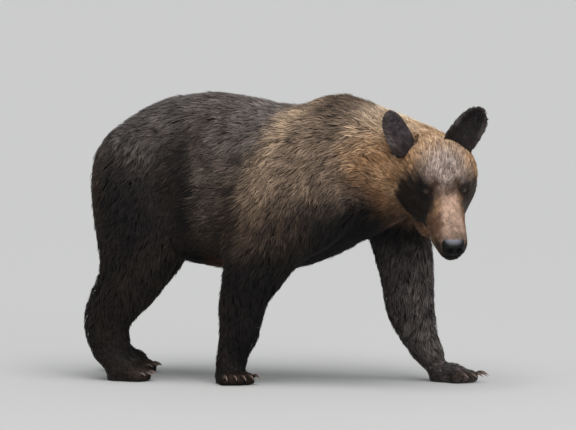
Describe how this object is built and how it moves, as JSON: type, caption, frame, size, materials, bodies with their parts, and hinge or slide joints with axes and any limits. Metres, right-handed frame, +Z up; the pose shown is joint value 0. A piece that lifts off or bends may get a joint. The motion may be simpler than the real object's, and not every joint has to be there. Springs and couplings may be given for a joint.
{
  "type": "brown bear",
  "caption": "Life-size still model of a brown bear in mid-stride, head low and turned to its right.",
  "frame": {"origin": "on the floor, under the middle of the model's box", "axes": "+X the way the bear walks, +Y its left side, +Z up"},
  "size_m": [1.4514, 0.5462, 0.9562],
  "materials": {
    "coat_dark": "matt fur, near black brown",
    "coat_brown": "matt fur, grizzled brown",
    "coat_golden": "matt fur, golden brown",
    "coat_muzzle": "short matt fur, pale tan",
    "nose_leather": "damp pebbled skin, dark grey",
    "eye_glass": "wet gloss, dark brown",
    "claw_horn": "smooth horn, paler at the tip"
  },
  "bodies": {
    "root": {"trunk": "coat_brown", "neck": "coat_golden", "head": "coat_golden", "lower_jaw": "coat_muzzle", "nose": "nose_leather", "ear_left": "coat_dark", "eye_left": "eye_glass", "ear_right": "coat_dark", "eye_right": "eye_glass", "tail": "coat_dark", "foreleg_left_upper": "coat_dark", "forearm_left": "coat_dark", "forepaw_left": "coat_dark", "hindleg_left_upper": "coat_dark", "shank_left": "coat_dark", "hindpaw_left": "coat_dark", "claw_fore_left_1": "claw_horn", "claw_fore_left_2": "claw_horn", "claw_fore_left_3": "claw_horn", "claw_fore_left_4": "claw_horn", "claw_fore_left_5": "claw_horn", "claw_hind_left_1": "claw_horn", "claw_hind_left_2": "claw_horn", "claw_hind_left_3": "claw_horn", "claw_hind_left_4": "claw_horn", "claw_hind_left_5": "claw_horn", "foreleg_right_upper": "coat_dark", "forearm_right": "coat_dark", "forepaw_right": "coat_dark", "hindleg_right_upper": "coat_dark", "shank_right": "coat_dark", "hindpaw_right": "coat_dark", "claw_fore_right_1": "claw_horn", "claw_fore_right_2": "claw_horn", "claw_fore_right_3": "claw_horn", "claw_fore_right_4": "claw_horn", "claw_fore_right_5": "claw_horn", "claw_hind_right_1": "claw_horn", "claw_hind_right_2": "claw_horn", "claw_hind_right_3": "claw_horn", "claw_hind_right_4": "claw_horn", "claw_hind_right_5": "claw_horn"}
  },
  "joints": []
}
